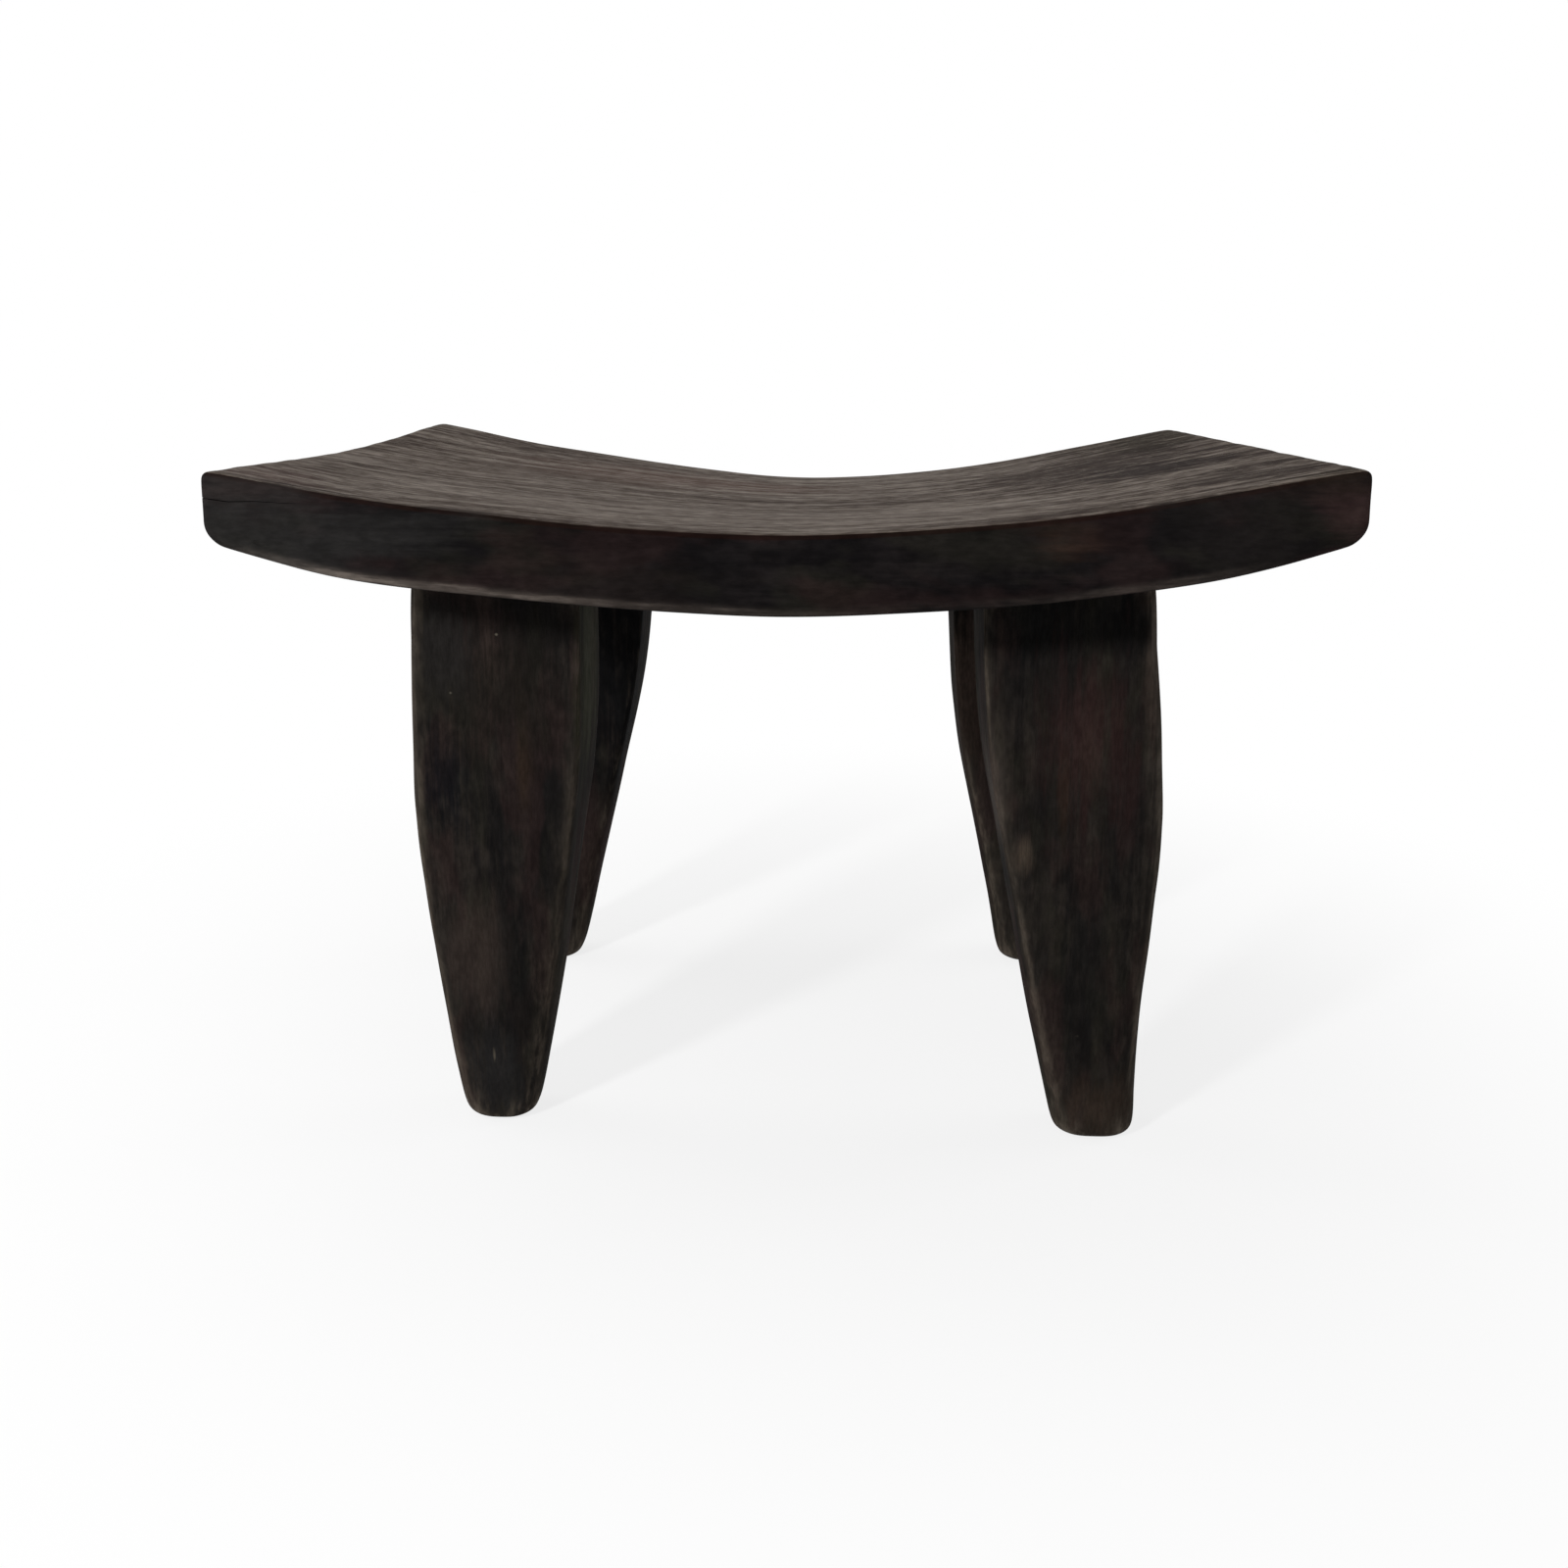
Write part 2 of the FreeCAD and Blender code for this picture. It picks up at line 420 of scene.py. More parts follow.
def between(values, height):
    """The value at a height, read from a list that goes with the ring heights."""
    return float(numpy.interp(height, ring_heights, values))


def seat_above(x, y):
    """Height of the seat's underside straight above a point of the floor."""
    _, place, _, _ = seat.ray_cast(Vector((x, y, 0)), along_z)
    return place.z


print("underside above the middle in mm:", round(seat_above(0, 0) / MM, 1))

# %% [markdown]
# A ring has two points at each corner, with a flat between them, and one in the middle of each face.
# Scaling a whole ring would scale its flats too, so they are set first, while it is square to the axes.


# %% Shape one ring
def is_upright(edge):
    low, high = sorted((vertex.co for vertex in edge.verts), key=lambda place: place.z)
    return high.z - low.z > (high - low).length / 2


def shape_ring(leg, height, centre, half_width, half_depth, flats):
    """Gives the ring of a straight leg block at a height its place, size and corner flats.

    The flats go by the side of the leg that they are on, 1 for its right and -1 for its left.
    """
    ring = [vertex for vertex in bmesh.from_edit_mesh(leg.data).verts if abs(vertex.co.z - height) < hair]
    numbers = {vertex.index for vertex in ring}
    block_x = max(abs(vertex.co.x) for vertex in ring)
    block_y = max(abs(vertex.co.y) for vertex in ring)
    block_flat = block_x - max(abs(vertex.co.x) for vertex in ring if abs(vertex.co.x) < block_x - hair)
    middle_of_ring = (0, 0, height)

    # What faces the sides is made narrower or wider along Y, and what faces the front and the back
    # along X, for each side's own flats
    stretch_x = half_width / block_x
    stretch_y = half_depth / block_y
    for side, flat in flats.items():
        choose(leg, "VERT", lambda v: v.index in numbers and side * v.co.x > block_x - hair)
        face_share = (half_depth - flat) / stretch_y / (block_y - block_flat)
        bpy.ops.transform.resize(value=(1, face_share, 1), center_override=middle_of_ring)
        choose(
            leg, "VERT",
            lambda v: v.index in numbers and abs(v.co.y) > block_y - hair and side * v.co.x > 0,
        )
        face_share = (half_width - flat) / stretch_x / (block_x - block_flat)
        bpy.ops.transform.resize(value=(face_share, 1, 1), center_override=middle_of_ring)

    choose(leg, "VERT", lambda v: v.index in numbers)
    bpy.ops.transform.resize(value=(stretch_x, stretch_y, 1), center_override=middle_of_ring)
    bpy.ops.transform.translate(value=centre)


# %% [markdown]
# A leg starts as a block with flattened corners, which is how it is hewn. It is cut at the height of
# each ring, up to just below the lowest point of the seat above it. Its upright edges are creased more
# and more towards the seat, and its sole and its top are creased all round.

# %% Shape one leg
block_half = Vector((35, 27, 0)) * MM
block_flat = 8 * MM
joint_reach = 30
joint_gap = 1
crisp_from = 40
crisp_over = 130
corner_crease = 0.5
end_crease = 0.7
leg_smoothing = 4


def shape_leg(place, shape):
    """One leg from a block, up to just below the seat, with crisp flats above and a round foot."""
    middle_x = shape["side"] * (shape["outer"][-1] + shape["inner"][-1]) / 2
    corners = [
        seat_above((middle_x + dx) * MM, (shape["row"] * shape["top_y"] + dy) * MM)
        for dx in (-joint_reach, 0, joint_reach)
        for dy in (-joint_reach, 0, joint_reach)
    ]
    top = min(corners) / MM - joint_gap
    heights = [*foot_ring_heights, *ring_heights[1:-1], top - joint_ease_height, top]

    leg = start_block(place + "_leg", -block_half, block_half + along_z * top * MM)
    choose(leg, "EDGE", is_upright)
    bpy.ops.mesh.bevel(offset=block_flat, segments=1)
    cut_across([0], along_x)
    cut_across([0], along_y)
    cut_across([height * MM for height in heights[1:-1]], along_z)

    for height in heights:
        below_round = max(0.0, 1 - height / foot_height)
        inset = foot_inset * (1 - math.sqrt(1 - below_round ** 2))
        if height == top:
            inset = joint_ease
        outer = between(shape["outer"], height)
        inner = between(shape["inner"], height)
        middle_y = shape["foot_y"] + (shape["top_y"] - shape["foot_y"]) * height / top
        half_width = (outer - inner) / 2 - inset
        half_depth = between(ring_depths, height) / 2 - inset
        flat_scale = half_width / (half_width + inset) * MM
        flats = {
            shape["side"]: between(outer_flats, height) * flat_scale,
            -shape["side"]: between(inner_flats, height) * flat_scale,
        }
        centre = Vector((shape["side"] * (outer + inner) / 2, shape["row"] * middle_y, 0))
        shape_ring(leg, height * MM, centre * MM, half_width * MM, half_depth * MM, flats)

    mesh = bmesh.from_edit_mesh(leg.data)
    crease = mesh.edges.layers.float.new("crease_edge")
    for edge in mesh.edges:
        height = middle(edge).z / MM
        if is_upright(edge):
            edge[crease] = corner_crease * min(1.0, max(0.0, (height - crisp_from) / crisp_over))
        elif height < hair / MM or height > top - hair / MM:
            edge[crease] = end_crease
    bmesh.update_edit_mesh(leg.data)
    bpy.ops.object.mode_set(mode="OBJECT")
    smooth = leg.modifiers.new("smooth", "SUBSURF")
    smooth.levels = leg_smoothing
    smooth.render_levels = leg_smoothing
    finish_piece(leg)
    return leg, top * MM


# %% [markdown]
# A leg's top is scribed to the curve of the seat. Its last vertices are pushed straight up onto the
# seat, and those a little lower follow by less, so that nothing bunches. The hollows of the tool are
# left out at the joint and at the sole, which both have to stay true.

# %% Scribe each leg to the seat
def weigh(piece, name, weight_at):
    """A vertex group whose weight is worked out from each vertex's height."""
    group = piece.vertex_groups.new(name=name)
    for vertex in piece.data.vertices:
        group.add([vertex.index], min(1.0, max(0.0, weight_at(vertex.co.z))), "REPLACE")


fade = 22 * MM
joint_margin = 0.3 * MM
legs = {}
for place, shape in leg_shapes.items():
    leg, top = shape_leg(place, shape)
    weigh(leg, "joint", lambda z: 1 - (top - joint_margin - z) / fade)
    weigh(leg, "carved", lambda z: min(z, top - z) / fade)
    scribe = leg.modifiers.new("scribe", "SHRINKWRAP")
    scribe.target = seat
    scribe.wrap_method = "PROJECT"
    scribe.use_project_z = True
    scribe.use_negative_direction = False
    scribe.vertex_group = "joint"
    finish_piece(leg)
    carve_hollows(leg, "Z", depth=0.9 * MM, width=20 * MM, where="carved")
    legs[place] = leg
    print(leg.name, len(leg.data.polygons), "faces, top at mm", round(top / MM, 1))

# %% [markdown]
# ## Wear and painted light along the arrises
# Hands and rags rub the stain off wherever the wood stands proud, and dust settles on what faces up.
# Both are kept as numbers on the vertices, which the wood's material reads later on. They could be
# painted by hand instead, but worked out from the shape they follow it exactly. It is done now, while
# every vertex still belongs to a smooth surface. The lighter colour of the wear is partly painted light
# as well: highlights on the legs' edges, and light from the floor on the seat's lower arris.


# %% Read and keep values of the vertices
def places_and_normals(piece):
    """Where each vertex of a piece is and which way it faces, as rows of X, Y and Z."""
    vertices = piece.data.vertices
    return [numpy.array([getattr(vertex, kind) for vertex in vertices]) for kind in ("co", "normal")]


def keep_values(piece, name, values):
    """Stores one number for each vertex of a piece as an attribute."""
    attribute = piece.data.attributes.new(name, "FLOAT", "POINT")
    attribute.data.foreach_set("value", values.astype(numpy.float32))
    print(piece.name, name, "from", round(float(values.min()), 2), "to", round(float(values.max()), 2))


# %% [markdown]
# A vertex that stands proud of its neighbours is on a bulge, and what faces none of the six sides is on
# an arris or a corner flat. Averaging each value with those near it softens its edges.


# %% Find bulges and arrises
def bulges(piece):
    """How sharply the surface bends outwards at each vertex, in 1/m."""
    mesh = bmesh.new()
    mesh.from_mesh(piece.data)
    bends = []
    for vertex in mesh.verts:
        neighbours = [edge.other_vert(vertex).co for edge in vertex.link_edges]
        centre = sum(neighbours, Vector()) / len(neighbours)
        size = sum((place - vertex.co).length for place in neighbours) / len(neighbours)
        bends.append((vertex.co - centre).dot(vertex.normal) / size ** 2)
    mesh.free()
    return numpy.array(bends)


def spread(piece, values, rounds):
    """The values averaged with those of their neighbours, a few times over."""
    pairs = numpy.array([list(edge.vertices) for edge in piece.data.edges])
    for _ in range(rounds):
        total = values.copy()
        count = numpy.ones(len(values))
        for here, there in ((0, 1), (1, 0)):
            numpy.add.at(total, pairs[:, here], values[pairs[:, there]])
            numpy.add.at(count, pairs[:, here], 1)
        values = total / count
    return values


def slanted(normals):
    """1 on the slanted faces of arrises and corners, which face none of the six sides."""
    squarest = 0.92
    sharpness = 8
    return numpy.clip((squarest - numpy.abs(normals).max(axis=1)) * sharpness, 0, 1)


# %% [markdown]
# The seat is worn along its lower arris, where hands lift it: most at the left, as the photo shows. Its
# lighter colour there is partly painted light from the floor. A leg is worn a little on its flats and
# wherever it bulges, and that lighter colour is partly a painted highlight on its edges.

# %% Mark wear and painted light, and what faces up
# Places along the seat in mm, and how much its lower arris is rubbed and lit by painted light there
rubbed_and_lit_places = (-218, -206, -198, -188, -175, -100, -60, -15, 0, 30, 60, 110, 150, 162, 172, 182, 195)
rubbed_and_lit_shares = (0, 0.3, 1.1, 1.3, 1, 0.95, 0.6, 0.4, 0.2, 0.14, 0.06, 0.2, 0.32, 0.32, 0.25, 0.2, 0)
down_from = -0.15
down_sharpness = 5
seat_rounds = 2
places, normals = places_and_normals(seat)
rubbed_and_lit_there = numpy.interp(places[:, 0] / MM, rubbed_and_lit_places, rubbed_and_lit_shares)
facing_down = numpy.clip((down_from - normals[:, 2]) * down_sharpness, 0, 1)
keep_values(seat, "wear_and_painted_light", spread(seat, slanted(normals) * facing_down * rubbed_and_lit_there, seat_rounds))
keep_values(seat, "upper", numpy.clip(normals[:, 2], 0, 1))

# How much a leg's bulges and flats are worn; the lighter colour is partly a painted highlight on its edges
bulge_reach = 12 * MM
most_bulge_wear_and_highlight = 0.5
leg_flat_wear_and_highlight = 0.3
leg_rounds = 4
for leg in legs.values():
    places, normals = places_and_normals(leg)
    proud = numpy.clip(bulges(leg) * bulge_reach, 0, most_bulge_wear_and_highlight)
    keep_values(leg, "wear_and_painted_light", spread(leg, numpy.maximum(proud, leg_flat_wear_and_highlight * slanted(normals)), leg_rounds))
    keep_values(leg, "upper", numpy.clip(normals[:, 2], 0, 1))

# %% [markdown]
# ## Dowel holes, a drying check and two nicks
# Each leg is held by two dowels, so blind holes are drilled for them through the joint, with a little
# room for glue. All are cut with a boolean: a cutter is made in the shape of what goes away. The holes
# could be left out, since nobody sees them, but then each dowel would stand inside solid wood.


# %% Drill the legs
sharpest_smooth = math.radians(40)
hole_sides = 48
glue_gap = 0.1 * MM
glue_pocket = 1 * MM


def cut_out(piece, cutters):
    """Takes the shape of the cutters out of a piece and removes them."""
    bpy.ops.object.select_all(action="DESELECT")
    for cutter in cutters:
        cutter.select_set(True)
    bpy.context.view_layer.objects.active = cutters[0]
    bpy.ops.object.join()
    bite = piece.modifiers.new("bite", "BOOLEAN")
    bite.operation = "DIFFERENCE"
    bite.solver = "EXACT"
    bite.object = cutters[0]
    before = len(piece.data.vertices)
    finish_piece(piece)
    bpy.ops.object.shade_smooth_by_angle(angle=sharpest_smooth)
    bpy.data.objects.remove(cutters[0])
    print(piece.name, "cut:", before, "vertices before,", len(piece.data.vertices), "after")


def drill(dowel):
    """A cutter for the hole of a dowel, from the dowel's own box."""
    low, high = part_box(dowel)
    bpy.ops.mesh.primitive_cylinder_add(
        vertices=hole_sides, radius=(high.x - low.x) / 2 + glue_gap,
        depth=high.z - low.z + 2 * glue_pocket, location=(low + high) / 2,
    )
    return bpy.context.object


def dowels_of(place):
    return [f"dowel_{place}_{which}" for which in ("inner", "outer")]


for place, leg in legs.items():
    cut_out(leg, [drill(dowel) for dowel in dowels_of(place)])

# %% [markdown]
# The front of the board has a hairline check at its left end, where the wood split as it dried, and two
# small nicks. The check's cutter is a blade that follows the crack and thins out to its right end.

# %% Cut the seat
# Points along the check, by how far along the seat and how high they are, in mm
check_line = [(-226, 296.4), (-213.7, 294.8), (-203, 295), (-193.3, 294.5), (-181, 294.2)]
check_width = 0.45
check_depth = 3.5
check_fade = 40
tip_share = 0.2
overrun = 2
front_mm = seat_low.y / MM


def split_cutter():
    """A thin blade along the check, which is thinnest at its right end."""
    left = check_line[0][0]
    tip = check_line[-1][0]
    low = Vector((left, front_mm - overrun, -check_width / 2)) * MM
    high = Vector((tip, front_mm + check_depth, check_width / 2)) * MM
    blade = start_block("split", low, high)
    cut_across([x * MM for x, height in check_line[1:-1]], along_x)
    for x, height in check_line:
        choose(blade, "VERT", lambda v: abs(v.co.x - x * MM) < hair)
        taper = tip_share + (1 - tip_share) * min(1, (tip - x) / check_fade)
        bpy.ops.transform.resize(value=(1, 1, taper), center_override=(0, 0, 0))
        bpy.ops.transform.translate(value=(0, 0, height * MM))
    bpy.ops.object.mode_set(mode="OBJECT")
    return blade


def nick_cutter(place, size, turn):
    """A flattened ball, by its middle, half its size and its turn, which leaves a shallow dent."""
    bpy.ops.mesh.primitive_ico_sphere_add(
        subdivisions=3, radius=1, location=Vector(place) * MM, rotation=turn, scale=Vector(size) * MM,
    )
    return bpy.context.object


nicks = [
    nick_cutter((-203, front_mm - 0.6, 278.8), (2.4, 1.3, 1.3), (0, 0.25, 0)),
    nick_cutter((141, front_mm - 0.5, 291), (4, 0.9, 0.6), (0, -0.3, 0)),
]
holes = [drill(dowel) for place in legs for dowel in dowels_of(place)]
cut_out(seat, [split_cutter(), *nicks, *holes])

# %% [markdown]
# ## Studio
# A plain pale floor and soft light, as for a picture in a catalogue. The floor, the lamps and the sky
# are built from the same few kinds of node, so one helper adds them all.


# %% Add a node
def add_node(tree, kind, settings=None, inputs=()):
    """A node with its settings, and a value or a link for its sockets, by name or in their order."""
    node = tree.nodes.new(kind)
    for name, value in (settings or {}).items():
        setattr(node, name, value)
    sockets = inputs if isinstance(inputs, dict) else dict(enumerate(inputs))
    for socket, value in sockets.items():
        if isinstance(value, bpy.types.NodeSocket):
            tree.links.new(value, node.inputs[socket])
        else:
            node.inputs[socket].default_value = value
    return node


def seen_directly(tree):
    """1 for rays from the camera and for reflections, 0 for the light that falls on things."""
    ray = add_node(tree, "ShaderNodeLightPath").outputs
    seen = ray["Is Camera Ray"]
    for kind in ("Is Glossy Ray", "Is Transmission Ray"):
        seen = add_node(tree, "ShaderNodeMath", {"operation": "MAXIMUM"}, [seen, ray[kind]]).outputs[0]
    return seen


# %% [markdown]
# The sky gives a weak even light, while the camera sees it as pure white. One white sky could do both,
# but it would light the dark wood from all sides and wash out its form.

# %% Sky
world_light = 0.22
world = bpy.data.worlds.new("studio")
bpy.context.scene.world = world
world.use_nodes = True
tree = world.node_tree
tree.nodes.clear()
full_white = (1, 1, 1, 1)
lighting = add_node(tree, "ShaderNodeBackground", None, {"Strength": world_light, "Color": full_white})
backdrop = add_node(tree, "ShaderNodeBackground", None, {"Strength": 1, "Color": full_white})
sky = add_node(
    tree, "ShaderNodeMixShader", None, [seen_directly(tree), lighting.outputs[0], backdrop.outputs[0]]
)
add_node(tree, "ShaderNodeOutputWorld", None, {"Surface": sky.outputs[0]})
print("sky of", len(tree.nodes), "nodes, lit at", world_light)

# %% [markdown]
# A large lamp hangs overhead, and a window-like one stands low at the front left, so that the seat
# throws a short soft shadow on the tops of the legs. Two weaker ones light the ends from the sides.

# %% Lamps
lamp_target = Vector((0, 0, 280)) * MM


def add_lamp(name, place, size, power):
    """A soft square lamp that points at the seat. Its place and size are in metres, its power in watts."""
    data = bpy.data.lights.new(name, "AREA")
    data.size = size
    data.energy = power
    lamp = bpy.data.objects.new(name, data)
    lamp.location = place
    lamp.rotation_euler = (lamp_target - lamp.location).to_track_quat("-Z", "Y").to_euler()
    bpy.context.scene.collection.objects.link(lamp)
    print("lamp", name, "at", place, "with", power, "W")


add_lamp("overhead", (-0.3, 0.35, 1.5), size=1.4, power=7.6)
add_lamp("window", (-0.92, -1.3, 0.86), size=0.16, power=20)
for side, name in ((-1, "left"), (1, "right")):
    add_lamp(name, (side * 1.5, 0.3, 0.5), size=0.8, power=8)

# %% [markdown]
# The floor is white paper, which runs on into the sky without an edge. Near the stool it keeps a little
# of its own shade, so that the stool stands in a faint shadow, and further out it is seen as white.

# %% Floor
floor_half = 6
paper_white = (0.9, 0.9, 0.9, 1)
sweep_from = 0.2
sweep_to = 0.6
white_near = 0.8
bpy.ops.object.select_all(action="DESELECT")
bpy.ops.mesh.primitive_plane_add(size=2 * floor_half)
floor = bpy.context.object
floor.name = "floor"
paper = bpy.data.materials.new("white_paper_sweep")
paper.use_nodes = True
tree = paper.node_tree
tree.nodes.clear()
matt = add_node(tree, "ShaderNodeBsdfDiffuse", None, {"Color": paper_white})
white = add_node(tree, "ShaderNodeEmission", None, {"Color": full_white, "Strength": 1})
floor_place = add_node(tree, "ShaderNodeTexCoord").outputs["Object"]
distance = add_node(tree, "ShaderNodeVectorMath", {"operation": "LENGTH"}, [floor_place]).outputs["Value"]
# Map Range takes a value, a low and a high one, and what those two become
smoothly = {"interpolation_type": "SMOOTHSTEP"}
far = add_node(tree, "ShaderNodeMapRange", smoothly, [distance, sweep_from, sweep_to, white_near, 1])
share = add_node(tree, "ShaderNodeMath", {"operation": "MULTIPLY"}, [far.outputs[0], seen_directly(tree)])
sweep = add_node(tree, "ShaderNodeMixShader", None, [share.outputs[0], matt.outputs[0], white.outputs[0]])
add_node(tree, "ShaderNodeOutputMaterial", None, {"Surface": sweep.outputs[0]})
floor.data.materials.append(paper)
print("floor of", 2 * floor_half, "m, white from", sweep_to, "m out")

# %% [markdown]
# ## Stained wood
# The seat and the legs are an open-pored hardwood, rasped and sanded, stained black-brown and rubbed
# with a little wax. The eye sees nearly black wood with brown and reddish streaks where the stain is
# thin, and browner arrises where hands have worn it; that brown is partly painted light on the edges.
# The top of the seat is rubbed greyish brown, has dust in its pores and takes a dull sheen where it is
# seen along the surface. A photo of wood could be wrapped round the pieces, but it would show seams. So
# all patterns are solid ones in the piece's own space, and the grain runs through the wood: along the
# seat's length and up the legs.


# %% Colours from hex
def linear(hex_colour):
    """An sRGB hex colour as the linear values that a shader takes."""
    shares = [int(hex_colour[start:start + 2], 16) / 255 for start in (1, 3, 5)]
    return (*[s / 12.92 if s <= 0.04045 else ((s + 0.055) / 1.055) ** 2.4 for s in shares], 1)


print("mid grey as a linear value:", round(linear("#808080")[0], 3))

# %% [markdown]
# Wood is streaky at every width, from broad bands to single pores. Each layer is noise that is long
# along the grain and narrow across it. Five layers add up to the figure, and the others are for the
# stain, which took unevenly, for grit and for pores. Real pores are too fine to show, about a third as
# wide, so they are drawn coarser.

# %% Figure of the wood
# Each layer's length and width in mm, its levels of finer noise, and a shift that sets it apart
wood_layers = {
    "broad": (150, 24, 2, 15.2),
    "middling": (90, 9, 2, 3.1),
    "narrow": (60, 3, 3, 7.7),
    "fine": (35, 1.1, 3, 1.7),
    "mottle": (9, 5, 4, 31.3),
    "clouds": (60, 30, 2, 8.9),
    "red_clouds": (60, 18, 3, 12.4),
    "olive_clouds": (50, 16, 3, 44.1),
    "grit": (5, 1.2, 4, 51.9),
    "pores": (12, 0.6, 1, 20.6),
}
finer_strength = 0.55
pore_range = (0.58, 0.7)
figure_shares = {"broad": 0.25, "middling": 0.25, "narrow": 0.22, "fine": 0.13, "mottle": 0.15}


def add_up(tree, layers, shares):
    """The sum of some layers of the wood, each times its share."""
    total = 0
    for name, share in shares.items():
        total = add_node(
            tree, "ShaderNodeMath", {"operation": "MULTIPLY_ADD"}, [layers[name], share, total]
        ).outputs[0]
    return total


def wood_grain(tree, grain, ply):
    """The layers of the wood by name, with the pores cut to thin lines and the figure added up."""
    layers = {}
    for name, (length, width, detail, shift) in wood_layers.items():
        scale = Vector((1 / length, 1 / width, 1 / (width * ply))) / MM
        scaled = add_node(
            tree, "ShaderNodeMapping", None,
            {"Vector": grain, "Location": (shift, shift, shift), "Scale": scale},
        )
        layers[name] = add_node(
            tree, "ShaderNodeTexNoise", None,
            {"Vector": scaled.outputs[0], "Scale": 1, "Detail": detail, "Roughness": finer_strength},
        ).outputs[0]
    layers["pores"] = add_node(
        tree, "ShaderNodeMapRange", smoothly, [layers["pores"], *pore_range, 0, 1]
    ).outputs[0]
    layers["figure"] = add_up(tree, layers, figure_shares)
    return layers


# %% [markdown]
# The finish is built up in coats, in the order in which they came about. Each coat covers more or less
# of what is below it by the value of one of the wood's layers, so that it follows the grain. Some coats
# also paint light and shade: on the edges, where the top's arris turns over, and in some patches.

# %% Stain
stain_range = (0.42, 0.6)
stain_in_clouds = (0.38, 0.62, 0.3, 1)
cloud_range = (0.5, 0.62)
olive_strength = 0.3
red_strength = 0.35


def lay_over(tree, below, above, value, low, high, least=0, most=1, within=1):
    """Lays a colour over another: the least of it at a low value, the most at a high one.

    All of it is times what it lies within. Colours go into a Mix at 6 and 7 and come out at 2.
    """
    coat = add_node(tree, "ShaderNodeMapRange", smoothly, [value, low, high, least, most])
    share = add_node(tree, "ShaderNodeMath", {"operation": "MULTIPLY"}, [coat.outputs[0], within])
    return add_node(
        tree, "ShaderNodeMix", {"data_type": "RGBA"}, {0: share.outputs[0], 6: below, 7: above}
    ).outputs[2]


def stained(tree, layers, side, red, olive):
    """Dark stain, lighter where the figure lets less of it in, with reddish and olive clouds."""
    thin = add_node(tree, "ShaderNodeMapRange", smoothly, [layers["clouds"], *stain_in_clouds]).outputs[0]
    dark, light = [linear(hex_colour) for hex_colour in side]
    colour = lay_over(tree, dark, light, layers["figure"], *stain_range, within=thin)
    colour = lay_over(tree, colour, linear(olive), layers["olive_clouds"], *cloud_range, most=olive_strength)
    return lay_over(tree, colour, linear(red), layers["red_clouds"], *cloud_range, most=red_strength)


# %% Rubbing, wear and painted light
facing_up_range = (0.78, 0.9)
# Where the top's arris turns over, a darker band: held stain and painted shade
lip_shade_range = (0.15, 0.4)
lip_shade_strength = 0.6
streak_range = (0.4, 0.6)
wear_in_streaks = (0.4, 0.6, 0.6, 1.2)


def rubbed_above_and_lip_shade(tree, layers, colour, facing_up, top, lip_shade):
    """Greyish wood on what faces up, and a darker band of held stain and painted shade where the arris turns
    over.
    """
    colour = lay_over(tree, colour, linear(lip_shade), facing_up, *lip_shade_range, most=lip_shade_strength)
    dark, light = [linear(hex_colour) for hex_colour in top]
    rubbed = lay_over(tree, dark, light, layers["figure"], *streak_range)
    return lay_over(tree, colour, rubbed, facing_up, *facing_up_range)


def worn_and_painted_light(tree, layers, colour, bare_and_lit):
    """Streaks of bare wood where the arrises are worn, partly painted light on the edges."""
    wear_and_painted_light = add_node(tree, "ShaderNodeAttribute", {"attribute_name": "wear_and_painted_light"}).outputs["Fac"]
    return lay_over(tree, colour, linear(bare_and_lit), layers["narrow"], *wear_in_streaks, within=wear_and_painted_light)


# %% [markdown]
# Here and there the stain pooled or is rubbed thin, in soft patches with ragged edges, and some patches
# are painted shadow, shade, light and sheen. Last come small spots of grit, and dust in the pores.

# %% Patches, grit and dust
grit_range = (0.35, 0.65, 0.88, 1.12)
dust_strength = 0.3

# How far the figure moves an edge about, and the sums at which a patch ends and at which it is full
raggedness = 5
patch_ends = 3.6
patch_full = 2.7


def patched(tree, layers, colour, place, patches):
    """Patches, each with its middle and half its size in mm, its colour and its strength."""
    for centre, half_size, hex_colour, strength in patches:
        shift = [-middle / half for middle, half in zip(centre, half_size)]
        scale = [1 / (half * MM) for half in half_size]
        offset = add_node(
            tree, "ShaderNodeMapping", None, {"Vector": place, "Location": shift, "Scale": scale}
        )
        away = add_node(tree, "ShaderNodeVectorMath", {"operation": "LENGTH"}, [offset.outputs[0]])
        ragged = add_node(
            tree, "ShaderNodeMath", {"operation": "MULTIPLY_ADD"},
            [layers["figure"], raggedness, away.outputs["Value"]],
        ).outputs[0]
        colour = lay_over(tree, colour, linear(hex_colour), ragged, patch_ends, patch_full, most=strength)
    return colour


def gritty(tree, layers, colour):
    """The colour, darker and lighter in small spots."""
    for name in ("grit", "mottle"):
        spots = add_node(tree, "ShaderNodeMapRange", smoothly, [layers[name], *grit_range])
        colour = add_node(
            tree, "ShaderNodeVectorMath", {"operation": "SCALE"}, {0: colour, "Scale": spots.outputs[0]}
        ).outputs[0]
    return colour


def dusted(tree, layers, colour, facing_up, dust):
    """Dust in the pores of what faces up."""
    upper = add_node(tree, "ShaderNodeMapRange", smoothly, [facing_up, *facing_up_range, 0, 1])
    open_pores = add_node(
        tree, "ShaderNodeMath", {"operation": "MULTIPLY"}, [layers["pores"], upper.outputs[0]]
    ).outputs[0]
    return lay_over(
        tree, colour, linear(dust), layers["narrow"], *streak_range, most=dust_strength, within=open_pores
    )


# %% [markdown]
# The surface itself is a little rough: the softer wood between the streaks wears down and the pores
# are open. It is too fine for geometry, so it is bump. Wood that is rubbed bright is also polished,
# and pooled stain stays matt.

